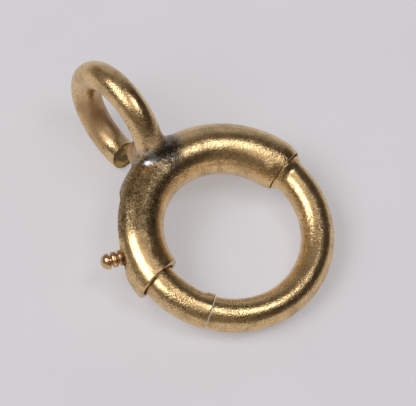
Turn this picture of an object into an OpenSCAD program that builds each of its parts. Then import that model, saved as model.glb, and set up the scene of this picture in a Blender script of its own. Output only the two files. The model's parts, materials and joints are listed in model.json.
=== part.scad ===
// Spring ring clasp: a fat curved tube holds a sprung bolt, which a turned
// knob draws back through a slot to open the ring. A wire loop is soldered
// to the tube. The clasp lies as it does on a table, on the loop's lowest
// point and on the thin arm opposite.
//
// Millimetres and degrees. The origin is the ring's centre, +Z is up and
// +Y points to the wire loop. A place on the ring is an angle in the ring's
// own plane, counted from +X towards +Y.

/* [Ring] */
// Radius of the ring's centreline
ring_r = 6.1; // [5.7:0.1:6.8]

/* [Case tube] */
// Outer radius of the fat tube
case_r = 1.71; // [1.66:0.01:1.85]
// Thickness of the tube's wall
case_wall = 0.25; // [0.15:0.01:0.3]
// Place of the tube's mouth at the arm
arm_mouth = 7; // [2:1:12]
// Place of the tube's mouth at the bolt
bolt_mouth = 175; // [172:1:180]
// Slant of the bolt's mouth against the ring's radius
mouth_slant = 7; // [1:1:10]

/* [Thumb slot] */
// Place of the slot's end near the loop
slot_open_end = 118; // [115:0.5:124]
// Place of the slot's end near the bolt's mouth
slot_shut_end = 161.5; // [160:0.5:165]
// Turn of the slot and the knob round the tube, down from the ring's plane
slot_turn = 10; // [0:1:15]
// Room on each side of the knob in the slot
slot_play = 0.35; // [0.2:0.01:0.4]

/* [Arm] */
// Radius of the thin fixed tube
arm_r = 1.13; // [1.05:0.01:1.2]
// Place where the arm and the bolt meet
meeting = 215.5; // [210:0.5:222]
// Step between the case tube and the rim of the arm's root
root_step = 0.04; // [0:0.01:0.1]
// Length of that rim
root_rim = 0.1; // [0.05:0.01:0.2]
// Length of the cone between the rim and the arm
root_len = 0.42; // [0.3:0.01:0.6]
// Length of the plug that sits in the case tube
plug_len = 1.5; // [1:0.1:2]
// Clearance round the plug and behind the rim
seat_gap = 0.03; // [0.02:0.01:0.05]

/* [Bolt] */
// Room between the bolt and the case tube all round
bolt_play = 0.28; // [0.2:0.01:0.35]
// Gap between the bolt and the arm when shut
shut_gap = 0.06; // [0.03:0.01:0.1]
// Length of the bolt behind the knob
bolt_tail = 0.9; // [0.8:0.05:1.2]
// Length of the thicker guide at the bolt's rear end
guide_len = 0.37; // [0.3:0.01:0.45]
// Running clearance between the guide and the tube
guide_play = 0.08; // [0.05:0.01:0.1]

/* [Thumb knob] */
// Radius of the knob's domed head and its ribs
knob_r = 0.55; // [0.5:0.01:0.6]
// Height of the knob's tip above the case tube
knob_rise = 1.2; // [1.2:0.02:1.5]
// Room between the knob and the slot's end when shut
knob_stop = 0.54; // [0.3:0.02:0.6]
// Height of the domed head
head_h = 0.62; // [0.55:0.01:0.65]
// Thickness of the upper rib
rib_h = 0.4; // [0.3:0.01:0.42]
// Thickness of the foot, the rib that runs in the slot
foot_h = 0.33; // [0.25:0.01:0.34]
// Groove between the head and the upper rib
upper_groove = 0.12; // [0.08:0.01:0.14]
// Groove between the upper rib and the foot
lower_groove = 0.08; // [0.05:0.01:0.1]
// Radius of the neck in the grooves
neck_r = 0.36; // [0.3:0.01:0.4]
// Radius of the shank that sits in the bolt
shank_r = 0.3; // [0.25:0.01:0.33]
// Depth of the shank's hole in the bolt
shank_depth = 1; // [0.7:0.05:1.2]
// Clearance round and under the shank
shank_gap = 0.02; // [0.01:0.01:0.03]

/* [Spring] */
// Radius of the spring's wire
coil_wire_r = 0.12; // [0.09:0.01:0.14]
// Clearance between the coil and the tube
coil_play = 0.08; // [0.05:0.01:0.12]
// Number of turns
coil_turns = 20; // [14:1:24]
// Gap at each end of the coil
coil_end_gap = 0.05; // [0.03:0.01:0.1]

/* [Wire loop] */
// Radius of the loop's centreline
loop_r = 3.46; // [3.2:0.02:3.8]
// Radius of the loop's wire
wire_r = 0.99; // [0.9:0.01:1.1]
// Depth of the wire's centreline below the case tube's surface
loop_sink = 0.49; // [0.3:0.01:0.6]
// Twist of the loop's plane away from the ring's radius
loop_twist = 5.7; // [0:0.1:8]
// Place of the cut end below, counted round the loop from its far point
free_end = 243; // [236:1:250]
// Place of the soldered end, counted on in the same turn
soldered_end = 560; // [552:1:565]

/* [Hidden] */
$fn = 96;

gold = "#c8a45a";
rosy_gold = "#c99a62";
steel = "#9c9a94";

bore_r = case_r - case_wall;
bolt_r = bore_r - bolt_play;
guide_r = bore_r - guide_play;
plug_r = bore_r - seat_gap;
root_r = case_r - root_step;
plug_inset = seat_gap + root_rim / 2;
// Depth of the root cone's small end under the arm's surface
cone_sink = 0.08;

slot_w = 2 * (knob_r + slot_play);
slot_middle = (slot_open_end + slot_shut_end) / 2;
slot_reach = (ring_r + case_r) * sin((slot_shut_end - slot_open_end) / 2) - slot_w / 2;
knob_place = slot_shut_end - turned(knob_r + knob_stop, ring_r + case_r);
bolt_rear = knob_place - turned(bolt_tail, ring_r);

// Heights of the knob's parts above the ring's centreline
knob_tip = case_r + knob_rise;
head_base = knob_tip - head_h;
rib_base = head_base - upper_groove - rib_h;
foot_base = rib_base - lower_groove - foot_h;
hole_base = bolt_r - shank_depth;

coil_sides = 5;
coil_steps = 12;
coil_r = bore_r - coil_play - coil_wire_r;
coil_first = arm_mouth + turned(plug_len + coil_end_gap + coil_wire_r, ring_r);
coil_last = bolt_rear - turned(coil_end_gap + coil_wire_r, ring_r);

loop_place = 90;
loop_dist = ring_r + case_r + loop_r - loop_sink;
rest_tilt = asin((loop_r + wire_r - arm_r) / (ring_r + loop_dist));

// Degrees that a length takes up on a circle of radius r
function turned(length, r) = length / r * 180 / PI;

// Lays the clasp as it rests
module rest() {
    rotate([rest_tilt, 0, 0])
        children();
}

// A round bar of radius r that follows the ring from one place to another
module ring_bar(r, from, to) {
    rotate([0, 0, from])
        rotate_extrude(angle = to - from)
            translate([ring_r, 0])
                circle(r);
}

// Puts children at a place on the ring, +X away from the centre, +Y onward
module at_ring(place) {
    rotate([0, 0, place])
        translate([ring_r, 0, 0])
            children();
}

// Puts children on the ring's centreline, with +Z out through the slot
module outward(place) {
    at_ring(place)
        rotate([0, 90 + slot_turn, 0])
            children();
}

// The wire loop, in a plane that stands on the ring's plane
module loop_wire() {
    rotate([0, 0, loop_place])
        translate([loop_dist, 0, 0])
            rotate([0, 0, -loop_twist])
                rotate([90, 0, 0])
                    rotate([0, 0, free_end])
                        rotate_extrude(angle = soldered_end - free_end)
                            translate([loop_r, 0])
                                circle(wire_r);
}

// A slot with round ends, milled straight in at its middle
module slot_cut() {
    outward(slot_middle)
        linear_extrude(2 * case_r) {
            square([slot_w, 2 * slot_reach], center = true);
            for (end = [-slot_reach, slot_reach])
                translate([0, end])
                    circle(slot_w / 2);
        }
}

// All that lies past the bolt's mouth
module mouth_cut() {
    at_ring(bolt_mouth)
        rotate([0, 0, mouth_slant])
            translate([-2 * case_r, 0, -2 * case_r])
                cube(4 * case_r);
}

module case_tube() {
    color(gold) rest() difference() {
        union() {
            ring_bar(case_r, arm_mouth, bolt_mouth + mouth_slant);
            loop_wire();
        }
        ring_bar(bore_r, arm_mouth - mouth_slant, bolt_mouth + 2 * mouth_slant);
        mouth_cut();
        slot_cut();
    }
}

module arm() {
    color(gold) rest() {
        ring_bar(arm_r, meeting - 360, arm_mouth);
        ring_bar(plug_r, arm_mouth - turned(plug_inset, ring_r), arm_mouth + turned(plug_len, ring_r));
        at_ring(arm_mouth)
            translate([0, -seat_gap, 0])
                rotate([90, 0, 0]) {
                    cylinder(h = root_rim, r = root_r);
                    translate([0, 0, root_rim])
                        cylinder(h = root_len, r1 = root_r, r2 = arm_r - cone_sink);
                }
    }
}

module bolt() {
    color(gold) rest() difference() {
        union() {
            ring_bar(bolt_r, bolt_rear, meeting - turned(shut_gap, ring_r));
            ring_bar(guide_r, bolt_rear, bolt_rear + turned(guide_len, ring_r));
        }
        outward(knob_place)
            translate([0, 0, hole_base])
                cylinder(h = 2 * shank_depth, r = shank_r + shank_gap);
    }
}

// A disc with a rounded rim that stands on the plane z = 0
module rib(h) {
    cylinder(h = h, r = knob_r - h / 2);
    translate([0, 0, h / 2])
        rotate_extrude()
            translate([knob_r - h / 2, 0])
                circle(h / 2);
}

// A dome whose tip lies at height head_h
module head() {
    intersection() {
        translate([0, 0, head_h - knob_r])
            sphere(knob_r);
        cylinder(h = 2 * head_h, r = 2 * knob_r);
    }
}

module thumb_knob() {
    color(rosy_gold) rest() outward(knob_place) {
        translate([0, 0, hole_base + shank_gap])
            cylinder(h = foot_base + foot_h / 2 - hole_base - shank_gap, r = shank_r);
        translate([0, 0, foot_base])
            rib(foot_h);
        translate([0, 0, foot_base + foot_h / 2])
            cylinder(h = head_base + head_h / 2 - foot_base - foot_h / 2, r = neck_r);
        translate([0, 0, rib_base])
            rib(rib_h);
        translate([0, 0, head_base])
            head();
    }
}

// A point on the spring's wire: its place on the ring, its turn round the
// coil and its side round the wire
function coil_point(place, turn, side) =
    let (
        off = coil_r + coil_wire_r * cos(side),
        out = ring_r + off * cos(turn),
        onward = place + turned(coil_wire_r * sin(side), ring_r)
    )
    [out * cos(onward), out * sin(onward), off * sin(turn)];

module spring() {
    rings = coil_turns * coil_steps;
    points = [
        for (i = [0:rings], j = [0:coil_sides - 1])
            coil_point(
                coil_first + (coil_last - coil_first) * i / rings,
                360 * i / coil_steps,
                360 * j / coil_sides
            )
    ];
    walls = [
        for (i = [0:rings - 1], j = [0:coil_sides - 1])
            let (k = (j + 1) % coil_sides, a = i * coil_sides, b = a + coil_sides)
            [a + j, a + k, b + k, b + j]
    ];
    first_cap = [for (j = [0:coil_sides - 1]) coil_sides - 1 - j];
    last_cap = [for (j = [0:coil_sides - 1]) rings * coil_sides + j];
    color(steel) rest()
        polyhedron(points, concat(walls, [first_cap, last_cap]));
}

case_tube();
arm();
bolt();
thumb_knob();
spring();
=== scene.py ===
import json
import math
from itertools import chain
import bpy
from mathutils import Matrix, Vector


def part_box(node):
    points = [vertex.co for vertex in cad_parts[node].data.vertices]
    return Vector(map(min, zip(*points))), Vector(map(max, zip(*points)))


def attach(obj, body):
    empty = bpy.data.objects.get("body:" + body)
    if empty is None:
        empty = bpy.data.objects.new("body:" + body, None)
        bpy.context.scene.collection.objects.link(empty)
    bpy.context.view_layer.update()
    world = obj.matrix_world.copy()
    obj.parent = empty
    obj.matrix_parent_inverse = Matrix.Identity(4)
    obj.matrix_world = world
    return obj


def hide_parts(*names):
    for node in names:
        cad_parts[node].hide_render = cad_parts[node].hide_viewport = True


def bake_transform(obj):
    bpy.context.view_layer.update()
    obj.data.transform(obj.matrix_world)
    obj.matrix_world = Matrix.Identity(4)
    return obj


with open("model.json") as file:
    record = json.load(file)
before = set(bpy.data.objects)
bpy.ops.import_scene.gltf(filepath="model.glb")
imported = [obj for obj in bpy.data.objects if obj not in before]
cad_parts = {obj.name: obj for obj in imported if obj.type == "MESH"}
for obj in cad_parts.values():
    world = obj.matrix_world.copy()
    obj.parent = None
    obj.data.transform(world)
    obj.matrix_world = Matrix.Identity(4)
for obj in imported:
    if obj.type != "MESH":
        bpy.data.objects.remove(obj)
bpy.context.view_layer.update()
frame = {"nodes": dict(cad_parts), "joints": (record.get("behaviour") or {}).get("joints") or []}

from types import SimpleNamespace

import bmesh
import bpy
import numpy as np
from bpy.props import FloatProperty, FloatVectorProperty, PointerProperty
from mathutils import Matrix, Vector

bl_info = {
    "name": "Spring ring clasp",
    "version": (1, 0, 0),
    "blender": (4, 5, 0),
    "location": "3D View > Sidebar > Clasp",
    "description": "Dresses a small gold spring ring clasp in its metal and lays it on a pale floor",
    "category": "Object",
}

# The bench works in millimetres, with places on a circle and turns in degrees. A
# straight piece lies along +X, with +Y up and +Z away from the ring's centre, and
# is then bent round the ring, which lies flat with its centre at the origin. A
# finished piece is tilted as the clasp rests and brought to metres.
MM = 0.001

# Sides of a turned tube and of the wire, the longest step along an outline and
# along the knob's, and the size of the faces at the solder and the slot
TUBE_SIDES = 96
WIRE_SIDES = 72
STEP = 0.14
KNOB_STEP = 0.05
FINE = 0.07

# Rounding of a turned edge, the length over which a bar's end is brought to a
# slant, and the width of the slot's edges that are pressed in
EDGE = 0.04
END_FADE = 3.0
SLOT_EDGE = 0.6

# Middle of the bead of solder in the loop's eye, at the wire's foot
BEAD = (-0.50, 7.84, 0.20)

# Where the bore is cleared of the wire and the bead
BORE_CUT = (50, 130)

# Where the solder's fillet grows heavy and where shade is painted into the crease on it,
# each from its start to where it is full: round the ring, up from its plane, along its X
HEAVY_PLACES = (110, 86)
HEAVY_HEIGHTS = (-1.2, 0.8)
CREASE_SHADE_HEIGHTS = (0.6, 1.1)
CREASE_SHADE_SIDE = (-1.1, -0.5)

# Where the case's side is worn, round the ring and round the tube, and where the
# loop is dull, round the loop: the start, the full part's start and end, the end
WORN_PLACES = (94, 102, 142, 151)
WORN_TURNS = (-60, -30, 118, 140)
DULL_TURNS = (256, 272, 335, 356)
# Round the wire, the dull gold's start and where it is full, on the loop's inside
DULL_SIDE = (85, 125)

# The joint's axis stands on the ring's plane, so it gives the tilt at rest.
AXIS = frame["joints"][0]["axis"]
REST_TILT = math.atan2(-AXIS[1], -AXIS[2]) if AXIS[2] > 0 else math.atan2(AXIS[1], -AXIS[2])
LAY = Matrix.Rotation(REST_TILT, 4, "X")
FLOOR = min(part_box(node)[0].z for node in frame["nodes"])


# Property helpers
def length(name, text, mm):
    return FloatProperty(name=name, description=text, default=mm * MM, min=0.0,
                         subtype="DISTANCE", unit="LENGTH", precision=5)


def angle(name, text, degrees):
    return FloatProperty(name=name, description=text, default=math.radians(degrees),
                         subtype="ANGLE", unit="ROTATION")


def colour(name, text, rgb):
    return FloatVectorProperty(name=name, description=text, default=rgb, size=3,
                               min=0.0, subtype="COLOR")


def share(name, text, value):
    return FloatProperty(name=name, description=text, default=value, min=0.0, max=1.0,
                         subtype="FACTOR")


def number(name, text, value, least=0.0):
    return FloatProperty(name=name, description=text, default=value, min=least)


# Sizes that the clasp's pieces are made from
class ClaspRingSizes(bpy.types.PropertyGroup):
    radius: length("Ring radius", "Radius of the ring's centreline", 6.1)
    meeting: angle("Meeting", "Place on the ring where arm and bolt meet", 214.8)
    meeting_slant: angle("Meeting slant", "Turn of the meeting faces to the ring's outside", 5.1)
    meeting_lean: angle("Meeting lean", "Lean of the meeting faces along the ring", 2.4)
    shut_gap: length("Shut gap", "Gap between the bolt and the arm when shut", 0.058)


class ClaspCaseSizes(bpy.types.PropertyGroup):
    radius: length("Case radius", "Outer radius of the fat tube", 1.71)
    wall: length("Wall", "Thickness of the fat tube's wall", 0.25)
    arm_mouth: angle("Mouth at the arm", "Place of the mouth that holds the arm", 7)
    bolt_mouth: angle("Mouth at the bolt", "Place of the mouth that the bolt leaves", 175)
    mouth_slant: angle("Slant", "Slant of the bolt's mouth against the radius", 7)
    rim_round: length("Rim rounding", "Rounding of the mouths' outer edges", 0.1)
    mouth_radius: length("Mouth radius", "Inner radius of the bolt's mouth, turned in", 1.31)
    mouth_lip: length("Mouth lip", "Length over which the mouth is turned in", 0.5)
    arm_mouth_radius: length("Arm mouth radius", "Outer radius of the arm's mouth, worn", 1.56)
    arm_mouth_lip: length("Arm mouth lip", "Length over which it is worn down", 0.6)
    slot_open_end: angle("Slot's open end", "Place of the slot's end near the loop", 118)
    slot_shut_end: angle("Slot's shut end", "Place of the slot's end near the bolt", 161.5)
    slot_turn: angle("Slot turn", "Turn of the slot and the knob round the tube, downward", 10)
    slot_width: length("Slot width", "Width of the thumb slot", 1.8)
    slot_round: length("Slot rounding", "Rounding of the slot's worn edges", 0.1)
    slot_press: length("Slot press", "How far the slot's long edges are bent in", 0.05)


class ClaspArmSizes(bpy.types.PropertyGroup):
    radius: length("Arm radius", "Radius of the thin fixed tube", 1.13)
    root_radius: length("Root radius", "Radius of the collar at the arm's root", 1.42)
    root_rim: length("Root rim", "Length of the collar's rim", 0.02)
    root_flare: length("Root flare", "Length over which the collar runs down to the arm", 0.6)
    groove_radius: length("Groove radius", "Radius of the arm just inside the case's rim", 1.24)
    plug_radius: length("Plug radius", "Radius of the plug inside the case", 1.43)
    plug_length: length("Plug length", "Length of the plug inside the case", 1.5)
    seat_gap: length("Seat gap", "Gap between the collar and the case's rim", 0.08)
    groove_length: length("Groove length", "Length of the groove inside the rim", 0.12)
    groove_slope: length("Groove slope", "Length of its slope up to the plug", 0.08)


class ClaspBoltSizes(bpy.types.PropertyGroup):
    radius: length("Bolt radius", "Radius of the bolt", 1.18)
    tail: length("Tail", "Length of the bolt behind the knob", 0.9)
    guide_radius: length("Guide radius", "Radius of the guide at the bolt's rear end", 1.38)
    guide_length: length("Guide length", "Length of that guide", 0.37)
    burr: length("Burr", "Height of the burr at the bolt's tip, on the ring's inside", 0.09)
    burr_length: length("Burr length", "Length of that burr", 0.62)


class ClaspKnobSizes(bpy.types.PropertyGroup):
    place: angle("Knob place", "Place of the thumb knob on the ring when shut", 153.5)
    radius: length("Knob radius", "Radius of the head and the ribs", 0.55)
    neck_radius: length("Neck radius", "Radius in the grooves", 0.36)
    shank_radius: length("Shank radius", "Radius of the shank in the bolt", 0.3)
    shank_gap: length("Shank gap", "Room round and under the shank in its hole", 0.02)
    hole_base: length("Hole base", "Height of the hole's bottom above the centreline", 0.18)
    foot_base: length("Foot base", "Height of the foot's underside", 1.36)
    foot_top: length("Foot top", "Height of the foot's upper side", 1.69)
    rib_base: length("Rib base", "Height of the rib's underside", 1.77)
    rib_top: length("Rib top", "Height of the rib's upper side", 2.17)
    head_base: length("Head base", "Height of the head's underside", 2.29)
    tip: length("Tip", "Height of the head's tip", 2.91)


class ClaspSpringSizes(bpy.types.PropertyGroup):
    wire: length("Spring wire", "Radius of the spring's wire", 0.12)
    radius: length("Coil radius", "Radius of the coil to the wire's middle", 1.26)
    turns: number("Turns", "Number of turns", 20, least=2)
    end_gap: length("End gap", "Gap at each end of the coil", 0.05)


class ClaspLoopSizes(bpy.types.PropertyGroup):
    radius: length("Loop radius", "Radius of the wire loop's centreline", 3.46)
    wire: length("Wire radius", "Radius of the loop's wire", 0.99)
    sink: length("Sink", "Depth of the wire's middle below the case's surface", 0.49)
    twist: angle("Twist", "Twist of the loop's plane away from the radius", 5.7)
    free_end: angle("Free end", "Place of the cut end, counted from the far point", 243)
    soldered_end: angle("Soldered end", "Place of the end in the solder", 560)
    end_round: length("End rounding", "Rounding of the soldered end's edge", 0.1)
    fillet: length("Fillet", "Reach of the solder between wire and case", 0.6)
    heavy_fillet: length("Heavy fillet", "Its reach on top of the case", 1.4)
    bead: length("Bead", "Radius of the bead of solder at the wire's foot", 1.05)
    bead_round: length("Bead rounding", "Reach of the solder round that bead", 0.15)


class ClaspFinishes(bpy.types.PropertyGroup):
    gold: colour("Gold", "The old gold where it is clean", (0.84, 0.59, 0.30))
    tarnish: colour("Tarnish", "The gold where it has darkened", (0.40, 0.26, 0.11))
    pits: colour("Pits", "Dirt in the gold's fine specks", (0.13, 0.085, 0.035))
    rosy_gold: colour("Rosy gold", "The thumb knob's redder gold", (0.78, 0.50, 0.28))
    worn: colour("Worn side", "Dirt in the case's worn side", (0.15, 0.10, 0.045))
    dull: colour("Dull gold", "The loop's inner side and the bead", (0.50, 0.31, 0.16))
    bore: colour("Bore", "The inside of the case tube", (0.14, 0.09, 0.045))
    solder: colour("Solder", "The grey solder at the loop's foot", (0.42, 0.44, 0.48))
    burnt: colour("Burnt solder", "Specks of dirt on the solder", (0.14, 0.115, 0.085))
    # Painted shade: the colour painted into the crease on top of the joint, standing in for its dark
    # reflection
    crease_shade: colour("Grime", "Dirt in the crease on top of the joint", (0.12, 0.10, 0.075))
    sawn: colour("Sawn face", "The loop's cut end", (0.42, 0.27, 0.07))
    sawn_dirt: colour("Sawn face's dirt", "Dirt on the cut end", (0.08, 0.05, 0.025))
    steel: colour("Steel", "The spring's wire", (0.42, 0.41, 0.40))
    dark_steel: colour("Dark steel", "The wire where it has darkened", (0.12, 0.10, 0.08))
    polish: share("Polish", "Roughness of the gold where it is clean", 0.21)
    grain: length("Grain", "Size of the fine grain on the gold", 0.085)
    grain_depth: length("Grain depth", "Depth of that grain", 0.0165)


class ClaspStudio(bpy.types.PropertyGroup):
    floor_colour: colour("Floor", "The pale floor", (0.63, 0.615, 0.63))
    floor_shade: share("Floor shade", "Share of its colour that the floor reflects", 0.76)
    floor_glow: share("Floor glow", "Strength of the floor's own light", 0.49)
    left_light: number("Left light", "Strength of the left softbox", 3.9)
    right_light: number("Right light", "Strength of the right softbox", 3.4)


def in_bench_units(group):
    """The group's lengths in millimetres and its angles in degrees, under their own names."""
    sizes = SimpleNamespace()
    for prop in group.bl_rna.properties:
        if prop.type != "FLOAT":
            continue
        value = getattr(group, prop.identifier)
        if prop.unit == "LENGTH":
            value = value / MM
        elif prop.unit == "ROTATION":
            value = math.degrees(value)
        setattr(sizes, prop.identifier, value)
    return sizes


# Bench work
def take_up(piece):
    """Leaves one piece selected and active."""
    bpy.ops.object.select_all(action="DESELECT")
    piece.select_set(True)
    bpy.context.view_layer.objects.active = piece


def open_mesh():
    bpy.ops.object.mode_set(mode="EDIT")
    bpy.ops.mesh.select_all(action="SELECT")


def close_mesh():
    """Turns all faces outward and leaves edit mode."""
    bpy.ops.mesh.select_all(action="SELECT")
    bpy.ops.mesh.normals_make_consistent(inside=False)
    bpy.ops.object.mode_set(mode="OBJECT")


def new_piece(name, points, edges):
    mesh = bpy.data.meshes.new(name)
    mesh.from_pydata(points, edges, [])
    piece = bpy.data.objects.new(name, mesh)
    bpy.context.scene.collection.objects.link(piece)
    take_up(piece)
    return piece


def points_of(piece):
    co = np.empty(len(piece.data.vertices) * 3)
    piece.data.vertices.foreach_get("co", co)
    return co.reshape(-1, 3)


def put_points(piece, co):
    piece.data.vertices.foreach_set("co", co.astype(np.float32).ravel())
    piece.data.update()


def round_corners(outline, radii, steps=5):
    """An outline with each inner corner rounded to its radius; 0 keeps it sharp."""
    made = []
    for i, (corner, radius) in enumerate(zip(outline, radii)):
        corner = Vector(corner)
        if radius == 0:
            made.append(tuple(corner))
            continue
        back = (Vector(outline[i - 1]) - corner).normalized()
        on = (Vector(outline[(i + 1) % len(outline)]) - corner).normalized()
        half = back.angle(on) / 2
        reach = radius / math.tan(half)
        centre = corner + (back + on).normalized() * (radius / math.sin(half))
        first, last = corner + back * reach - centre, corner + on * reach - centre
        turn = first.angle_signed(last)
        for k in range(steps + 1):
            at = Matrix.Rotation(-turn * k / steps, 2) @ first
            made.append(tuple(centre + at))
    return made


def spaced(outline, step, closed=False):
    """The outline with points added wherever two stand more than a step apart."""
    made = []
    ends = outline[1:] + ([outline[0]] if closed else [])
    for start, end in zip(outline, ends):
        start, end = Vector(start), Vector(end)
        parts = max(1, math.ceil((end - start).length / step))
        made += [tuple(start.lerp(end, k / parts)) for k in range(parts)]
    return made if closed else made + [outline[-1]]


def turn_on_lathe(name, outline, rounding=None, sides=TUBE_SIDES, step=STEP, closed=False,
                  axis="X"):
    """Spins an outline of (along, radius) points round the X or Z axis. The rounding has
    a radius for each point, in the same order."""
    outline = spaced(round_corners(outline, rounding or [0] * len(outline)), step, closed)
    if axis == "X":
        points = [(along, 0.0, radius) for along, radius in outline]
    else:
        points = [(radius, 0.0, along) for along, radius in outline]
    edges = [(i, i + 1) for i in range(len(points) - 1)]
    if closed:
        edges.append((len(points) - 1, 0))
    piece = new_piece(name, points, edges)
    open_mesh()
    bpy.ops.mesh.spin(steps=sides, angle=math.tau, center=(0, 0, 0),
                      axis=(1, 0, 0) if axis == "X" else (0, 0, 1))
    bpy.ops.mesh.select_all(action="SELECT")
    bpy.ops.mesh.remove_doubles(threshold=1e-4)
    close_mesh()
    return piece


def bend_round(piece, radius, start=0.0):
    """Bends a straight piece round the origin: its own X becomes a way along a circle."""
    co = points_of(piece)
    turn = start + co[:, 0] / radius
    out = radius + co[:, 2]
    put_points(piece, np.stack([out * np.cos(turn), out * np.sin(turn), co[:, 1]], axis=1))


def at_ring(ring_radius, place):
    """The matrix that brings a straight bench piece to a place on the ring, unbent."""
    turn = math.radians(place)
    out = Vector((math.cos(turn), math.sin(turn), 0))
    on = Vector((-math.sin(turn), math.cos(turn), 0))
    made = Matrix((on, (0, 0, 1), out)).transposed().to_4x4()
    made.translation = out * ring_radius
    return made


def through_slot(s, place):
    """The same, turned round the tube so that its Z points out through the slot."""
    turn = Matrix.Rotation(math.radians(s.case.slot_turn), 4, "X")
    return at_ring(s.ring.radius, place) @ turn


def combine(piece, other, operation):
    """Joins another piece to this one or cuts it away, and uses it up."""
    take_up(piece)
    change = piece.modifiers.new("combine", "BOOLEAN")
    change.operation = operation
    change.solver = "EXACT"
    change.object = other
    bpy.ops.object.modifier_apply(modifier=change.name)
    bpy.data.objects.remove(other)


def smooth_step(x):
    x = np.clip(x, 0, 1)
    return x * x * (3 - 2 * x)


def rise(value, start, full):
    """Eases from 0 at the start to 1 where it is full, upward or downward."""
    return smooth_step((value - start) / (full - start))


def band(value, start, full, late, end):
    """1 between full and late, easing to 0 at start and end."""
    return rise(value, start, full) * rise(value, end, late)


def round_least(a, b, reach):
    """The lesser of two heights, rounded where they are within a reach of each other."""
    h = np.clip(0.5 + 0.5 * (b - a) / reach, 0, 1)
    return b * (1 - h) + a * h - reach * h * (1 - h)


def round_most(a, b, reach):
    return -round_least(-a, -b, reach)


def settle(points, height, rounds=6, nudge=1e-4):
    """Moves points along the slope of a height until they lie where it is zero."""
    for _ in range(rounds):
        slope = np.empty_like(points)
        for k in range(3):
            step = np.zeros(3)
            step[k] = nudge
            slope[:, k] = (height(points + step) - height(points - step)) / (2 * nudge)
        steep = np.maximum((slope ** 2).sum(1), 0.05)
        points = points - (height(points) / steep)[:, None] * slope
    return points


def pick_none(mesh):
    for item in chain(mesh.verts, mesh.edges, mesh.faces):
        item.select = False


def pick(piece, chosen):
    """In edit mode, selects the points of a mask, and the edges and faces they close."""
    mesh = bmesh.from_edit_mesh(piece.data)
    pick_none(mesh)
    for point, wanted in zip(mesh.verts, chosen):
        point.select = bool(wanted)
    mesh.select_mode = {"VERT"}
    mesh.select_flush_mode()
    bmesh.update_edit_mesh(piece.data)


def edit_points(piece):
    mesh = bmesh.from_edit_mesh(piece.data)
    return np.array([point.co for point in mesh.verts])


def work_over(piece, near, height, rounds=4):
    """Evens out the mesh where near(points) holds and settles it on the height's zero."""
    take_up(piece)
    bpy.ops.object.mode_set(mode="EDIT")
    bpy.context.tool_settings.mesh_select_mode = (True, False, False)
    pick(piece, near(edit_points(piece)))
    bpy.ops.mesh.quads_convert_to_tris()
    for _ in range(rounds):
        mesh = bmesh.from_edit_mesh(piece.data)
        chosen = near(edit_points(piece))
        pick_none(mesh)
        bpy.context.tool_settings.mesh_select_mode = (False, True, False)
        mesh.select_mode = {"EDGE"}
        for edge in mesh.edges:
            a, b = edge.verts
            if chosen[a.index] and chosen[b.index] and edge.calc_length() > 1.5 * FINE:
                edge.select_set(True)
        bmesh.update_edit_mesh(piece.data)
        bpy.ops.mesh.subdivide(number_cuts=1, ngon=False)
        bpy.context.tool_settings.mesh_select_mode = (True, False, False)
        pick(piece, near(edit_points(piece)))
        bpy.ops.mesh.quads_convert_to_tris()
        bpy.ops.mesh.dissolve_degenerate(threshold=0.45 * FINE)
        pick(piece, near(edit_points(piece)))
        bpy.ops.mesh.quads_convert_to_tris()
        bpy.ops.mesh.beautify_fill()
        bpy.ops.mesh.vertices_smooth(factor=0.5, repeat=2)
        bpy.ops.object.mode_set(mode="OBJECT")
        co = points_of(piece)
        chosen = near(co)
        co[chosen] = settle(co[chosen], height)
        put_points(piece, co)
        bpy.ops.object.mode_set(mode="EDIT")
    close_mesh()


def mark(piece, name, values):
    """Stores a value at each point under a name that the materials read."""
    made = piece.data.attributes.new(name, "FLOAT", "POINT")
    made.data.foreach_set("value", np.asarray(values, np.float32))


def lay_down(piece, metal_name, sharp):
    """Lays a finished bench piece as the clasp rests, in metres, with its metal."""
    piece.data.transform(LAY @ Matrix.Scale(MM, 4))
    piece.data.update()
    take_up(piece)
    bpy.ops.object.shade_smooth_by_angle(angle=math.radians(sharp))
    piece.data.materials.clear()
    piece.data.materials.append(metals()[metal_name])


def hand_over(piece, body, node, metal_name, sharp=50):
    """Lays a piece down and gives it to the body and node that it shows."""
    lay_down(piece, metal_name, sharp)
    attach(piece, body)
    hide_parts(node)


# Measures of points on the flat ring. Heights are above a surface, and negative
# inside the metal.
def bar_height(points, ring_radius, radius):
    """Height above a round bar bent to a ring."""
    off = np.hypot(points[:, 0], points[:, 1]) - ring_radius
    return np.hypot(off, points[:, 2]) - radius


def turns_of(points, ring_radius):
    """Each point's place round the ring and its turn round the tube, in degrees."""
    place = np.degrees(np.arctan2(points[:, 1], points[:, 0])) % 360
    off = np.hypot(points[:, 0], points[:, 1]) - ring_radius
    return place, np.degrees(np.arctan2(points[:, 2], off))


def into(points, matrix):
    """Points brought into the frame of a matrix."""
    inverse = np.array(matrix.inverted())
    return points @ inverse[:3, :3].T + inverse[:3, 3]


def slot_middle(s):
    return (s.case.slot_open_end + s.case.slot_shut_end) / 2


def slot_reach(s):
    """Half the length of the slot's straight part."""
    half = math.radians(s.case.slot_shut_end - s.case.slot_open_end) / 2
    return (s.ring.radius + s.case.radius) * math.sin(half) - s.case.slot_width / 2


def slot_height(points, s):
    """How far beside the slot's opening and how far out along it a point stands."""
    local = into(points, through_slot(s, slot_middle(s)))
    along = np.maximum(np.abs(local[:, 0]) - slot_reach(s), 0)
    return np.hypot(along, local[:, 1]) - s.case.slot_width / 2, local[:, 2]


def loop_frame(s):
    """The matrix of the wire loop's own flat frame."""
    distance = s.ring.radius + s.case.radius + s.loop.radius - s.loop.sink
    return (
        Matrix.Rotation(math.radians(90), 4, "Z")
        @ Matrix.Translation((distance, 0, 0))
        @ Matrix.Rotation(math.radians(-s.loop.twist), 4, "Z")
        @ Matrix.Rotation(math.radians(90), 4, "X")
    )


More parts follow.
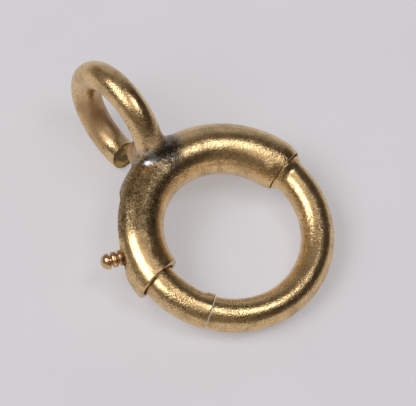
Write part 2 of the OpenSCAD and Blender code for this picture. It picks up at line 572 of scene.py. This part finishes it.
def on_loop(loop, place):
    """A point of the loop's centreline in the loop's own frame, and the way onward."""
    turn = math.radians(place)
    onward = np.array([-math.sin(turn), math.cos(turn), 0])
    return np.array([math.cos(turn), math.sin(turn), 0]) * loop.radius, onward


def loop_height(points, s):
    """Height above the wire loop near its soldered end."""
    local = into(points, loop_frame(s))
    body = bar_height(local, s.loop.radius, s.loop.wire)
    end, onward = on_loop(s.loop, s.loop.soldered_end)
    return round_most(body, (local - end) @ onward, s.loop.end_round)


def all_sizes():
    parts = ("ring", "case", "arm", "bolt", "knob", "spring", "loop")
    return SimpleNamespace(**{
        part: in_bench_units(getattr(bpy.context.scene, "clasp_" + part)) for part in parts})


def way(place, ring):
    """The length along the ring's centreline up to a place."""
    return math.radians(place) * ring.radius


def bolt_rear(s):
    return way(s.knob.place, s.ring) - s.bolt.tail


def slant_end(piece, ring, end, slant, lean):
    """Turns a straight bar's end to a plane that slants outward and leans up, in degrees."""
    co = points_of(piece)
    across = math.tan(math.radians(slant)) * co[:, 2] + math.tan(math.radians(lean)) * co[:, 1]
    shift = np.arctan(across / (ring.radius + co[:, 2]))
    close = rise(np.abs(co[:, 0] - end), END_FADE, 0)
    co[:, 0] += ring.radius * shift * close
    put_points(piece, co)


# Pieces
def make_case_tube(s):
    first, last = way(s.case.arm_mouth, s.ring), way(s.case.bolt_mouth, s.ring)
    bore = s.case.radius - s.case.wall
    wall = [(first, s.case.arm_mouth_radius), (first + s.case.arm_mouth_lip, s.case.radius),
            (last, s.case.radius), (last, s.case.mouth_radius),
            (last - s.case.mouth_lip, bore), (first, bore)]
    rounding = [EDGE, 1.2, s.case.rim_round, 0.05, 0.3, 0.02]
    tube = turn_on_lathe("CaseShell", wall, rounding, closed=True)
    slant_end(tube, s.ring, last, s.case.mouth_slant, 0)
    bend_round(tube, s.ring.radius)
    return tube


def make_slot_cutter(s):
    """A long bar with round ends, which points out where the slot is milled."""
    sides = 50
    bpy.ops.mesh.primitive_circle_add(
        vertices=sides, radius=s.case.slot_width / 2, fill_type="NGON",
        rotation=(0, 0, math.pi / sides))
    bpy.ops.object.transform_apply()
    cutter = bpy.context.object
    co = points_of(cutter)
    co[:, 0] += np.sign(co[:, 0]) * slot_reach(s)
    put_points(cutter, co)
    open_mesh()
    bpy.ops.mesh.extrude_region_move(
        TRANSFORM_OT_translate={"value": (0, 0, 2 * s.case.radius)})
    close_mesh()
    cutter.data.transform(through_slot(s, slot_middle(s)))
    return cutter


def make_bore_cutter(s):
    """A bar that fills the bore and half the wall below the loop's foot."""
    radius = s.case.radius - s.case.wall / 2
    start, end = (way(place, s.ring) for place in BORE_CUT)
    outline = [(start, 0), (start, radius), (end, radius), (end, 0)]
    cutter = turn_on_lathe("bore", outline)
    bend_round(cutter, s.ring.radius)
    return cutter


def make_wire_loop(s):
    """The wire bent to its loop, with nothing of it left inside the bore."""
    long = math.radians(s.loop.soldered_end - s.loop.free_end) * s.loop.radius
    r = s.loop.wire
    outline = [(0, 0), (0, 0.4 * r), (0, 0.8 * r), (0, r), (long, r), (long, 0)]
    rounding = [0, 0, 0, 0.07, s.loop.end_round, 0]
    wire = turn_on_lathe("WireLoop", outline, rounding, WIRE_SIDES)
    bend_round(wire, s.loop.radius, math.radians(s.loop.free_end))
    wire.data.transform(loop_frame(s))
    combine(wire, make_bore_cutter(s), "DIFFERENCE")
    return wire


def make_bead(s):
    bpy.ops.mesh.primitive_ico_sphere_add(subdivisions=4, radius=s.loop.bead, location=BEAD)
    bpy.ops.object.transform_apply()
    bead = bpy.context.object
    combine(bead, make_bore_cutter(s), "DIFFERENCE")
    return bead


def solder_shape(s):
    """The soldered joint as three functions of points: the height above the bead, the
    height above the whole joint, and how near a point is to both case and wire."""
    def case_height(points):
        return bar_height(points, s.ring.radius, s.case.radius)

    def wire_height(points):
        return loop_height(points, s)

    def reach(points):
        """The solder reaches further on top of the case than under it or beyond the bead."""
        place = np.degrees(np.arctan2(points[:, 1], points[:, 0]))
        heavy = rise(place, *HEAVY_PLACES) * rise(points[:, 2], *HEAVY_HEIGHTS)
        return s.loop.fillet + (s.loop.heavy_fillet - s.loop.fillet) * heavy

    def bead(points):
        return np.linalg.norm(points - np.array(BEAD), axis=1) - s.loop.bead

    def joint(points):
        fillet = round_least(case_height(points), wire_height(points), reach(points))
        return round_least(fillet, bead(points), s.loop.bead_round)

    def closeness(points):
        """1 where case and wire meet, 0.6 on the bead, 0 at the solder's edge, less beyond."""
        a, b = case_height(points), wire_height(points)
        filled = np.minimum(a, b) < 0.1 + reach(points) / 4
        met = np.where(filled, 1 - np.abs(a - b) / reach(points), -1)
        return np.maximum(met, 0.6 - bead(points) / 0.25)

    return SimpleNamespace(bead=bead, joint=joint, closeness=closeness)


def mark_wear(s, tube, solder):
    """Marks the case where it is soldered, where shade is painted into the crease on top of
    the joint, worn, dull and sawn. A point counts as on a surface when it lies within a
    few hundredths of a millimetre of it."""
    co = points_of(tube)
    near = solder.closeness(co)
    mark(tube, "solder", rise(near, -0.2, 0.8))
    # Painted shade: darkens the crease on top of the joint, where it stands for a dark reflection
    on_top = rise(co[:, 2], *CREASE_SHADE_HEIGHTS) * rise(co[:, 0], *CREASE_SHADE_SIDE)
    mark(tube, "crease_shade", smooth_step(1.8 * near) * on_top)
    bore = s.case.radius - s.case.wall
    mark(tube, "inside", bar_height(co, s.ring.radius, bore) < 0.03)
    place, around = turns_of(co, s.ring.radius)
    on_case = bar_height(co, s.ring.radius, s.case.radius) < 0.05
    mark(tube, "worn", on_case * band(place, *WORN_PLACES) * band(around, *WORN_TURNS))
    local = into(co, loop_frame(s))
    turn, side = turns_of(local, s.loop.radius)
    on_wire = bar_height(local, s.loop.radius, s.loop.wire) < 0.03
    dull = on_wire * band(turn, *DULL_TURNS) * rise(np.abs(side), *DULL_SIDE)
    mark(tube, "dull", np.maximum(dull, rise(solder.bead(co), 0.1, 0)))
    end, onward = on_loop(s.loop, s.loop.free_end)
    mark(tube, "cut_face", (np.abs((local - end) @ onward) < 0.04)
         & (np.linalg.norm(local - end, axis=1) < s.loop.wire * 1.02))


def solder_loop(s, tube, wire):
    """Joins wire and tube, mills the slot, flows the solder and wears the slot's edges."""
    combine(tube, wire, "UNION")
    combine(tube, make_slot_cutter(s), "DIFFERENCE")
    combine(tube, make_bead(s), "UNION")
    bore = s.case.radius - s.case.wall
    solder = solder_shape(s)

    def near_joint(points):
        in_bore = bar_height(points, s.ring.radius, bore) < 0.02
        return (solder.closeness(points) > -0.15) & ~in_bore

    def slotted(points):
        gap = slot_height(points, s)[0]
        press = s.case.slot_press * rise(gap, SLOT_EDGE, 0)
        outer = bar_height(points, s.ring.radius, s.case.radius - press)
        inner = bar_height(points, s.ring.radius, bore - press)
        return round_most(round_most(outer, -inner, 0.02), -gap, s.case.slot_round)

    def near_slot(points):
        gap, out = slot_height(points, s)
        return (gap < SLOT_EDGE) & (out > 0)

    work_over(tube, near_joint, solder.joint)
    work_over(tube, near_slot, slotted)
    mark_wear(s, tube, solder)
    return tube


def make_arm(s):
    """The arm runs down from the collar at the case's mouth; its plug sits in the case."""
    mouth = way(s.case.arm_mouth, s.ring)
    tip = way(s.ring.meeting - 360, s.ring)
    rim = mouth - s.arm.seat_gap
    start = rim - s.arm.root_rim
    groove = mouth + s.arm.groove_length
    plug_end = mouth + s.arm.plug_length
    steps, hollow = 8, 1.7
    flare = [
        (start - s.arm.root_flare * k / steps,
         s.arm.radius + (s.arm.root_radius - s.arm.radius) * (1 - k / steps) ** hollow)
        for k in range(steps, 0, -1)
    ]
    outline = [(tip, 0), (tip, s.arm.radius), *flare, (start, s.arm.root_radius),
               (rim, s.arm.root_radius), (rim, s.arm.groove_radius),
               (groove, s.arm.groove_radius), (groove + s.arm.groove_slope, s.arm.plug_radius),
               (plug_end, s.arm.plug_radius), (plug_end, 0)]
    rounding = [0, EDGE, *[0] * steps, 0, EDGE, 0, 0, 0, 2 * EDGE, 0]
    arm = turn_on_lathe("ArmTube", outline, rounding)
    slant_end(arm, s.ring, tip, -s.ring.meeting_slant, -s.ring.meeting_lean)
    bend_round(arm, s.ring.radius)
    return arm


def make_bolt(s):
    """The bolt has a burr where its tip has struck the arm, and a hole for the knob."""
    rear = bolt_rear(s)
    tip = way(s.ring.meeting, s.ring) - s.ring.shut_gap
    guide = rear + s.bolt.guide_length
    outline = [(rear, 0), (rear, s.bolt.guide_radius), (guide, s.bolt.guide_radius),
               (guide, s.bolt.radius), (tip, s.bolt.radius), (tip, 0)]
    bolt = turn_on_lathe("BoltTongue", outline, [0, 0.05, 0.03, 0.03, EDGE, 0])
    co = points_of(bolt)
    # The burr swells on the ring's inside, with a low ridge where it starts
    inward = rise(-co[:, 2] / s.bolt.radius, 0.1875, 0.8125)
    behind = tip - co[:, 0] - s.bolt.burr_length
    lip = rise(behind, 0.1, -0.1) + 0.5 * rise(np.abs(behind), 0.16, 0)
    co[:, 2] -= s.bolt.burr * inward * lip
    put_points(bolt, co)
    slant_end(bolt, s.ring, tip, -s.ring.meeting_slant, -s.ring.meeting_lean)
    bend_round(bolt, s.ring.radius)
    radius = s.knob.shank_radius + s.knob.shank_gap
    hole = turn_on_lathe("hole", [(s.knob.hole_base, 0), (s.knob.hole_base, radius),
                                  (s.case.radius, radius), (s.case.radius, 0)],
                         sides=48, step=math.inf, axis="Z")
    hole.data.transform(through_slot(s, s.knob.place))
    combine(bolt, hole, "DIFFERENCE")
    return bolt


def make_knob(s):
    k = s.knob
    dome = k.tip - k.radius
    low = math.asin((dome - k.head_base) / k.radius)
    head = [(dome + k.radius * math.sin(a), k.radius * math.cos(a))
            for a in np.linspace(-low, math.pi / 2, 22)]
    edge = k.radius * math.cos(low)
    foot = k.hole_base + k.shank_gap
    outline = [(foot, 0), (foot, k.shank_radius),
               (k.foot_base, k.shank_radius), (k.foot_base, k.radius), (k.foot_top, k.radius),
               (k.foot_top, k.neck_radius), (k.rib_base, k.neck_radius),
               (k.rib_base, k.radius), (k.rib_top, k.radius), (k.rib_top, k.neck_radius),
               (k.head_base, k.neck_radius), (k.head_base, edge - 0.05)]
    rounding = [0, 0.05, 0.03, 0.12, 0.12, 0.03, 0.03, 0.15, 0.15, 0.05, 0.05, 0.0]
    outline += head[1:-1] + [(k.tip, 0)]
    rounding += [0] * (len(outline) - len(rounding))
    knob = turn_on_lathe("ThumbKnob", outline, rounding, 64, KNOB_STEP, axis="Z")
    knob.data.transform(through_slot(s, k.place))
    return knob


def make_spring(s):
    first = way(s.case.arm_mouth, s.ring) + s.arm.plug_length + s.spring.end_gap + s.spring.wire
    last = bolt_rear(s) - s.spring.end_gap - s.spring.wire
    bpy.ops.mesh.primitive_circle_add(
        vertices=12, radius=s.spring.wire, location=(first, 0, s.spring.radius),
        rotation=(math.pi / 2, 0, 0), fill_type="NOTHING")
    bpy.ops.object.transform_apply()
    coil = bpy.context.object
    coil.name = "CoilSpring"
    wind = coil.modifiers.new("wind", "SCREW")
    wind.axis = "X"
    wind.angle = math.tau
    wind.screw_offset = (last - first) / s.spring.turns
    wind.iterations = round(s.spring.turns)
    wind.steps = wind.render_steps = 32
    wind.use_merge_vertices = False
    bpy.ops.object.modifier_apply(modifier=wind.name)
    bpy.ops.object.mode_set(mode="EDIT")
    bpy.ops.mesh.select_all(action="DESELECT")
    bpy.context.tool_settings.mesh_select_mode = (False, True, False)
    bpy.ops.mesh.select_non_manifold()
    bpy.ops.mesh.fill_holes(sides=0)
    close_mesh()
    bend_round(coil, s.ring.radius)
    return coil


# Materials
def new_group(name, takes, gives):
    """A shader node group with its named inputs and outputs."""
    group = bpy.data.node_groups.new(name, "ShaderNodeTree")
    for label, kind, value in takes:
        made = group.interface.new_socket(label, in_out="INPUT", socket_type=kind)
        if value is not None:
            made.default_value = value
    for label, kind in gives:
        group.interface.new_socket(label, in_out="OUTPUT", socket_type=kind)
    start, end = group.nodes.new("NodeGroupInput"), group.nodes.new("NodeGroupOutput")
    return group, start.outputs, end.inputs


def add(tree, kind, values=None, **settings):
    """Adds a node, sets what it is and what its sockets hold or are linked to."""
    made = tree.nodes.new(kind)
    for label, value in settings.items():
        setattr(made, label, value)
    for label, value in (values or {}).items():
        if isinstance(value, bpy.types.NodeSocket):
            tree.links.new(value, made.inputs[label])
        else:
            made.inputs[label].default_value = value
    return made


def maths(tree, operation, a, b=0.0, c=0.0):
    return add(tree, "ShaderNodeMath", {0: a, 1: b, 2: c}, operation=operation).outputs[0]


def times(tree, a, b):
    return maths(tree, "MULTIPLY", a, b)


def ramp(tree, value, low, high, to_low=0.0, to_high=1.0):
    """A value eased from one range to another."""
    return add(tree, "ShaderNodeMapRange", {
        "Value": value, "From Min": low, "From Max": high,
        "To Min": to_low, "To Max": to_high,
    }, interpolation_type="SMOOTHSTEP").outputs["Result"]


def blend_colours(tree, factor, a, b, kind="MIX"):
    return add(tree, "ShaderNodeMix", {0: factor, 6: a, 7: b}, data_type="RGBA",
               blend_type=kind).outputs[2]


def noise(tree, vector, size, detail=2.0, rough=0.5):
    """Noise whose lumps are about a size across, in millimetres."""
    linked = isinstance(size, bpy.types.NodeSocket)
    return add(tree, "ShaderNodeTexNoise", {
        "Vector": vector, "Scale": maths(tree, "DIVIDE", 1.0, size) if linked else 1 / size,
        "Detail": detail, "Roughness": rough,
    }).outputs["Fac"]


def in_millimetres(tree):
    """The object's own coordinates in millimetres."""
    place = add(tree, "ShaderNodeTexCoord").outputs["Object"]
    return add(tree, "ShaderNodeMapping", {
        "Vector": place, "Scale": (1 / MM, 1 / MM, 1 / MM)}).outputs["Vector"]


def marked(tree, name):
    """What a piece's points carry under a name."""
    return add(tree, "ShaderNodeAttribute", attribute_name=name).outputs["Fac"]


def opaque(rgb):
    return (*rgb, 1.0)


def skin_group():
    """Fine patchy grain, low dents and specks of a worn surface."""
    group, given, wanted = new_group("Worn skin", [
        ("Vector", "NodeSocketVector", None), ("Grain size", "NodeSocketFloat", 0.1),
        ("Grain depth", "NodeSocketFloat", 0.02), ("Dent size", "NodeSocketFloat", 0.8),
        ("Dent depth", "NodeSocketFloat", 0.01),
    ], [("Height", "NodeSocketFloat"), ("Pits", "NodeSocketFloat")])
    spot = given["Vector"]
    fine = noise(group, spot, given["Grain size"], 0.6)
    broad = noise(group, spot, given["Dent size"], 1.0, 0.4)
    patchy = ramp(group, noise(group, spot, 1.6), 0.35, 0.65, 0.5, 1.3)
    grain = times(group, maths(group, "SUBTRACT", fine, 0.5), patchy)
    dents = times(group, maths(group, "SUBTRACT", broad, 0.5), given["Dent depth"])
    height = maths(group, "MULTIPLY_ADD", grain, given["Grain depth"], dents)
    specks = ramp(group, noise(group, spot, 0.1, 1.0), 0.50, 0.33)
    group.links.new(height, wanted["Height"])
    group.links.new(times(group, specks, patchy), wanted["Pits"])
    return group


def tarnish_group(pit_colour):
    """Clouds where the metal has darkened, dirty specks, and how rough they leave it."""
    group, given, wanted = new_group("Tarnish", [
        ("Vector", "NodeSocketVector", None), ("Clean", "NodeSocketColor", None),
        ("Dark", "NodeSocketColor", None), ("Pits", "NodeSocketFloat", 0.0),
        ("Amount", "NodeSocketFloat", 0.5), ("Polish", "NodeSocketFloat", 0.17),
    ], [("Color", "NodeSocketColor"), ("Roughness", "NodeSocketFloat")])
    spot = given["Vector"]
    clouds = ramp(group, noise(group, spot, 1.1, 4.0, 0.6), 0.42, 0.68)
    dirt = times(group, clouds, given["Amount"])
    tint = blend_colours(group, dirt, given["Clean"], given["Dark"])
    tint = blend_colours(group, times(group, given["Pits"], 0.58), tint,
                         opaque(pit_colour))
    uneven = ramp(group, noise(group, spot, 0.5, 3.0), 0.3, 0.7, -0.03, 0.05)
    rough = maths(group, "ADD", maths(group, "MULTIPLY_ADD", dirt, 0.12, given["Polish"]), uneven)
    group.links.new(tint, wanted["Color"])
    group.links.new(rough, wanted["Roughness"])
    return group


def metal(name, groups, clean, dark, amount, polish, grain, grain_depth,
          dent=0.8, dent_depth=0.005):
    """A metal with the shared skin and tarnish; returns the material and its parts."""
    made = bpy.data.materials.new(name)
    made.use_nodes = True
    tree = made.node_tree
    shader = tree.nodes["Principled BSDF"]
    shader.inputs["Metallic"].default_value = 1.0
    spot = in_millimetres(tree)
    skin = add(tree, "ShaderNodeGroup", {
        "Vector": spot, "Grain size": grain, "Grain depth": grain_depth,
        "Dent size": dent, "Dent depth": dent_depth,
    }, node_tree=groups[0])
    stain = add(tree, "ShaderNodeGroup", {
        "Vector": spot, "Clean": opaque(clean), "Dark": opaque(dark),
        "Pits": skin.outputs["Pits"], "Amount": amount, "Polish": polish,
    }, node_tree=groups[1])
    bump = add(tree, "ShaderNodeBump", {
        "Height": skin.outputs["Height"], "Distance": MM, "Strength": 1.0})
    tree.links.new(stain.outputs["Color"], shader.inputs["Base Color"])
    tree.links.new(stain.outputs["Roughness"], shader.inputs["Roughness"])
    tree.links.new(bump.outputs["Normal"], shader.inputs["Normal"])
    return SimpleNamespace(material=made, tree=tree, shader=shader, spot=spot, skin=skin,
                           stain=stain)


def age_by_marks(gold, finish, depth):
    """Makes a gold follow the case's marks: its grain's depth, its colour and polish."""
    tree = gold.tree
    worn, dull, crease_shade = (marked(tree, name) for name in ("worn", "dull", "crease_shade"))
    deeper = maths(tree, "MULTIPLY_ADD", dull, -0.7 * depth, depth)
    deeper = maths(tree, "MULTIPLY_ADD", worn, 1.1 * depth, deeper)
    deeper = maths(tree, "MULTIPLY_ADD", crease_shade, 1.3 * depth, deeper)
    tree.links.new(deeper, gold.skin.inputs["Grain depth"])

    def speckled(amount, size, detail, *spread):
        """An amount broken up by noise; the spread is the ramp's lows and highs."""
        specks = ramp(tree, noise(tree, gold.spot, size, detail), *spread)
        return times(tree, amount, specks)

    soldered = maths(tree, "SUBTRACT", marked(tree, "solder"), dull)
    tint = gold.stain.outputs["Color"]
    for amount, colour_there in (
        (speckled(worn, 0.13, 2.0, 0.36, 0.62, 1.0, 0.35), finish.worn),
        (times(tree, dull, 0.6), finish.dull),
        (speckled(soldered, 0.12, 2.0, 0.40, 0.66, 0.95, 0.3), finish.burnt),
        (speckled(soldered, 0.6, 3.0, 0.52, 0.60), finish.solder),
        # Painted shade: the dark reflection in the crease on top of the joint, painted into the
        # colour
        (speckled(crease_shade, 0.1, 2.0, 0.40, 0.60, 0.95, 0.2), finish.crease_shade),
        (times(tree, marked(tree, "inside"), 0.6), finish.bore),
    ):
        tint = blend_colours(tree, amount, tint, opaque(colour_there))
    sawn = blend_colours(tree, ramp(tree, noise(tree, gold.spot, 0.5, 4.0), 0.40, 0.56),
                         opaque(finish.sawn), opaque(finish.sawn_dirt))
    cut = times(tree, marked(tree, "cut_face"), 0.9)
    tree.links.new(blend_colours(tree, cut, tint, sawn), gold.shader.inputs["Base Color"])
    rough = maths(tree, "MULTIPLY_ADD", worn, 0.06, gold.stain.outputs["Roughness"])
    rough = maths(tree, "MULTIPLY_ADD", dull, 0.25, rough)
    tree.links.new(rough, gold.shader.inputs["Roughness"])


def metals():
    """Makes the clasp's metals once and returns them by name."""
    found = {name: bpy.data.materials.get(name) for name in
             ("Old gold", "Soldered gold", "Rosy gold", "Spring steel")}
    if all(found.values()):
        return found
    finish = bpy.context.scene.clasp_finish
    groups = (skin_group(), tarnish_group(finish.pits))
    grain, depth = finish.grain / MM, finish.grain_depth / MM
    gold, soldered = (
        metal(name, groups, finish.gold, finish.tarnish, 0.5, finish.polish, grain, depth)
        for name in ("Old gold", "Soldered gold"))
    age_by_marks(soldered, finish, depth)
    rosy = metal("Rosy gold", groups, finish.rosy_gold, finish.tarnish, 0.6,
                 finish.polish, grain, 0.6 * depth, dent=0.4, dent_depth=0.06)
    steel = metal("Spring steel", groups, finish.steel, finish.dark_steel, 0.8, 0.32,
                  0.05, 0.002)
    return {m.material.name: m.material for m in (gold, soldered, rosy, steel)}


# Operators
class CLASP_OT_case(bpy.types.Operator):
    """Turns and bends the case tube, solders the wire loop on and mills the slot"""

    bl_idname = "clasp.case"
    bl_label = "Case tube and wire loop"

    def execute(self, context):
        s = all_sizes()
        piece = solder_loop(s, make_case_tube(s), make_wire_loop(s))
        hand_over(piece, "case", "case_tube", "Soldered gold")
        return {"FINISHED"}


class CLASP_OT_arm(bpy.types.Operator):
    """Turns and bends the arm with the collar at its root"""

    bl_idname = "clasp.arm"
    bl_label = "Arm"

    def execute(self, context):
        hand_over(make_arm(all_sizes()), "case", "arm", "Old gold")
        return {"FINISHED"}


class CLASP_OT_bolt(bpy.types.Operator):
    """Turns and bends the bolt and drills the hole for the thumb knob"""

    bl_idname = "clasp.bolt"
    bl_label = "Bolt"

    def execute(self, context):
        hand_over(make_bolt(all_sizes()), "slider", "bolt", "Old gold")
        return {"FINISHED"}


class CLASP_OT_knob(bpy.types.Operator):
    """Turns the thumb knob with its head, rib and foot"""

    bl_idname = "clasp.knob"
    bl_label = "Thumb knob"

    def execute(self, context):
        hand_over(make_knob(all_sizes()), "slider", "thumb_knob", "Rosy gold",
                  sharp=60)
        return {"FINISHED"}


class CLASP_OT_spring(bpy.types.Operator):
    """Winds the coil spring and bends it into the case"""

    bl_idname = "clasp.spring"
    bl_label = "Spring"

    def execute(self, context):
        s = all_sizes()
        coil = make_spring(s)
        lay_down(coil, "Spring steel", sharp=180)
        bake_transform(coil)
        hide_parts("spring")
        return {"FINISHED"}


# Stage
# The camera stands where the photograph was taken from: its three directions
# and its place, measured in ring radii from the ring's centre.
CAMERA_RIGHT = Vector((0.70542, -0.70829, 0.02659))
CAMERA_UP = Vector((0.58950, 0.60712, 0.53282))
CAMERA_BACK = Vector((-0.39354, -0.36019, 0.84581))
CAMERA_SHIFT = (-0.2204, 0.3145, 61.35)
LENS = 482.9
SENSOR = 36.0

# The bearing, from +X towards +Y, that the camera looks along
UPWARD = 42.5

# The room's colour, what the camera itself sees of it, and soft round zones in
# it: turn and height of the middle, radii where full and where gone, colour
ROOM = (0.20, 0.175, 0.14)
BACKDROP = (0.60, 0.59, 0.60)
ZONES = (
    (85, 32, 34, 66, (0.055, 0.045, 0.038)),
    (180, 78, 14, 34, (0.74, 0.70, 0.66)),
    (0, 14, 18, 34, (0.42, 0.43, 0.47)),
)

# The softboxes' colour and their distance in metres
COOL_WHITE = (0.96, 1.0, 1.08)
SOFTBOX_DISTANCE = 0.7

# Millimetres from the clasp over which the floor's own light fades
GLOW_FADE = (35, 140)


def direction(turn, height):
    """A direction from the clasp: turned clockwise from the picture's upward side, as
    seen from above, and raised above the horizon, both in degrees."""
    bearing = math.radians(UPWARD - turn)
    up = math.radians(height)
    return Vector((math.cos(bearing) * math.cos(up), math.sin(bearing) * math.cos(up),
                   math.sin(up)))


def softbox(name, turn, height, wide, tall, strength):
    """A rectangular softbox that faces the clasp; wide and tall are angles it covers."""
    lamp = bpy.data.lights.new(name, "AREA")
    lamp.shape = "RECTANGLE"
    lamp.size = 2 * SOFTBOX_DISTANCE * math.tan(math.radians(wide) / 2)
    lamp.size_y = 2 * SOFTBOX_DISTANCE * math.tan(math.radians(tall) / 2)
    lamp.energy = strength * math.pi * lamp.size * lamp.size_y
    lamp.color = COOL_WHITE
    box = bpy.data.objects.new(name, lamp)
    away = direction(turn, height)
    box.location = away * SOFTBOX_DISTANCE
    box.rotation_euler = away.to_track_quat("Z", "Y").to_euler()
    box.visible_camera = False
    bpy.context.scene.collection.objects.link(box)


def zone(tree, heading, base, turn, height, inner, outer, tint):
    """Paints a round zone of the room, seen from the clasp, over what is there."""
    axis = direction(turn, height)
    close = add(tree, "ShaderNodeVectorMath", {0: heading, 1: axis},
                operation="DOT_PRODUCT").outputs["Value"]
    amount = ramp(tree, close, math.cos(math.radians(outer)), math.cos(math.radians(inner)))
    return blend_colours(tree, amount, base, opaque(tint))


def make_room():
    world = bpy.data.worlds.new("Studio")
    bpy.context.scene.world = world
    world.use_nodes = True
    tree = world.node_tree
    heading = add(tree, "ShaderNodeTexCoord").outputs["Generated"]
    seen = opaque(ROOM)
    for row in ZONES:
        seen = zone(tree, heading, seen, *row)
    light_path = add(tree, "ShaderNodeLightPath").outputs["Is Camera Ray"]
    shown = blend_colours(tree, light_path, seen, opaque(BACKDROP))
    back = tree.nodes["Background"]
    tree.links.new(shown, back.inputs["Color"])
    back.inputs["Strength"].default_value = 1.0


def make_floor(studio):
    """A pale paper floor, a little cloudy, that gives some light of its own."""
    bpy.ops.mesh.primitive_plane_add(size=3.0, location=(0, 0, FLOOR))
    bpy.ops.object.transform_apply()
    floor = bpy.context.object
    floor.name = "Floor"
    paper = bpy.data.materials.new("Pale paper")
    paper.use_nodes = True
    tree = paper.node_tree
    shader = tree.nodes["Principled BSDF"]
    spot = in_millimetres(tree)
    pale = studio.floor_colour
    cloud = ramp(tree, noise(tree, spot, 9.0), 0.3, 0.7)
    tint = blend_colours(tree, cloud, opaque([0.98 * c for c in pale]), opaque(pale))
    away = add(tree, "ShaderNodeVectorMath", {0: spot}, operation="LENGTH").outputs["Value"]
    glow = blend_colours(tree, ramp(tree, away, *GLOW_FADE), tint,
                         opaque([0.6 * c for c in pale]))
    shaded = blend_colours(tree, 1.0, tint, opaque([studio.floor_shade] * 3), "MULTIPLY")
    tree.links.new(shaded, shader.inputs["Base Color"])
    tree.links.new(glow, shader.inputs["Emission Color"])
    shader.inputs["Emission Strength"].default_value = studio.floor_glow
    shader.inputs["Roughness"].default_value = 0.9
    shader.inputs["Specular IOR Level"].default_value = 0.1
    floor.data.materials.append(paper)


def make_camera(ring_radius):
    view = bpy.data.cameras.new("Camera")
    view.lens = LENS
    view.sensor_width = SENSOR
    view.clip_start, view.clip_end = 0.01, 10.0
    camera = bpy.data.objects.new("Camera", view)
    bpy.context.scene.collection.objects.link(camera)
    right, up, back = (part * ring_radius for part in CAMERA_SHIFT)
    turned = Matrix((CAMERA_RIGHT, CAMERA_UP, CAMERA_BACK)).transposed().to_4x4()
    turned.translation = CAMERA_RIGHT * right + CAMERA_UP * up + CAMERA_BACK * back
    camera.matrix_world = turned
    bpy.context.scene.camera = camera


class CLASP_OT_stage(bpy.types.Operator):
    """Sets the camera, the floor, the softboxes and the dim studio round them"""

    bl_idname = "clasp.stage"
    bl_label = "Stage"

    def execute(self, context):
        studio = context.scene.clasp_studio
        make_camera(context.scene.clasp_ring.radius)
        make_floor(studio)
        make_room()
        softbox("Left softbox", -108, 53, 40, 28, studio.left_light)
        softbox("Right softbox", 100, 67, 24, 17, studio.right_light)
        context.scene.view_settings.view_transform = "Standard"
        return {"FINISHED"}


class CLASP_PT_panel(bpy.types.Panel):
    bl_label = "Spring ring clasp"
    bl_idname = "CLASP_PT_panel"
    bl_space_type = "VIEW_3D"
    bl_region_type = "UI"
    bl_category = "Clasp"

    def draw(self, context):
        column = self.layout.column()
        for operator in OPERATORS:
            column.operator(operator.bl_idname)


OPERATORS = (CLASP_OT_case, CLASP_OT_arm, CLASP_OT_bolt, CLASP_OT_knob, CLASP_OT_spring,
             CLASP_OT_stage)
GROUPS = {
    "clasp_ring": ClaspRingSizes, "clasp_case": ClaspCaseSizes, "clasp_arm": ClaspArmSizes,
    "clasp_bolt": ClaspBoltSizes, "clasp_knob": ClaspKnobSizes,
    "clasp_spring": ClaspSpringSizes, "clasp_loop": ClaspLoopSizes,
    "clasp_finish": ClaspFinishes, "clasp_studio": ClaspStudio,
}


def register():
    for part in (*GROUPS.values(), *OPERATORS, CLASP_PT_panel):
        bpy.utils.register_class(part)
    for name, group in GROUPS.items():
        setattr(bpy.types.Scene, name, PointerProperty(type=group))


def unregister():
    for name in GROUPS:
        delattr(bpy.types.Scene, name)
    for part in reversed((*GROUPS.values(), *OPERATORS, CLASP_PT_panel)):
        bpy.utils.unregister_class(part)


def main():
    register()
    bpy.ops.clasp.stage()
    bpy.ops.clasp.case()
    bpy.ops.clasp.arm()
    bpy.ops.clasp.bolt()
    bpy.ops.clasp.knob()
    bpy.ops.clasp.spring()


if __name__ == "__main__":
    main()
